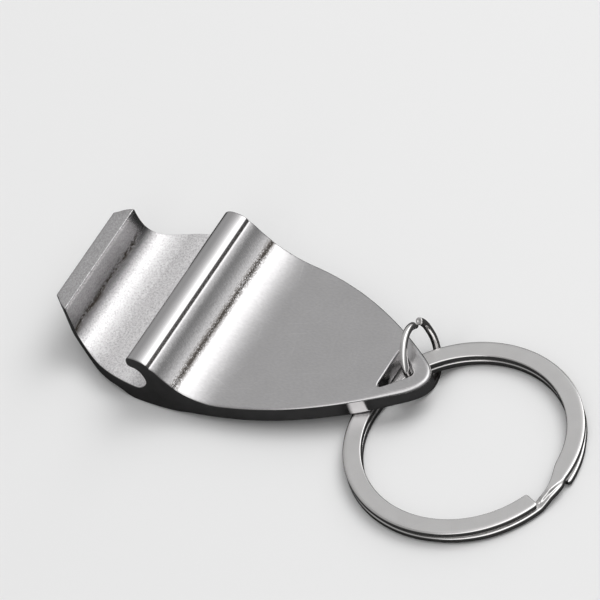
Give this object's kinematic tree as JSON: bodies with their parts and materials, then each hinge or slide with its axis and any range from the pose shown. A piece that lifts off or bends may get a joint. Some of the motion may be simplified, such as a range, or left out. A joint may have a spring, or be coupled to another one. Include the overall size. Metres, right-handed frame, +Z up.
{
  "type": "keychain bottle opener",
  "caption": "Leaf-shaped metal blade with a raised lip and hooked rib that pry off crown caps, on a small jump ring and a flat split key ring.",
  "frame": {"origin": "bottom centre of the whole object's box, as it lies on a table", "axes": "+X from the cap lip towards the tip and the key ring, +Y across the blade to the side where the jump ring goes round its edge, +Z up from the table"},
  "size_m": [0.0708, 0.0322, 0.0103],
  "materials": {
    "satin_nickel": "satin nickel plate with fine scratches and polished edges",
    "bright_nickel": "bright nickel plate on drawn wire",
    "ring_nickel": "nickel plate, satin flats and bright edges"
  },
  "bodies": {
    "opener": {"opener_blade": "satin_nickel"},
    "jump_ring": {"jump_ring": "bright_nickel"},
    "split_ring": {"split_ring": "ring_nickel"}
  },
  "joints": [
    {"name": "jump_ring_swing", "type": "hinge", "parent": "opener", "child": "jump_ring", "pos_m": [0.01114, 0.00831, 0.00501], "axis": [0.9986, 0.0064, 0.0524], "range_deg": [0, 150]},
    {"name": "split_ring_swing", "type": "hinge", "parent": "jump_ring", "child": "split_ring", "pos_m": [0.00957, 0.00812, 0.00297], "axis": [0.9075, 0.3829, 0.1729], "range_deg": [0, 50]}
  ]
}
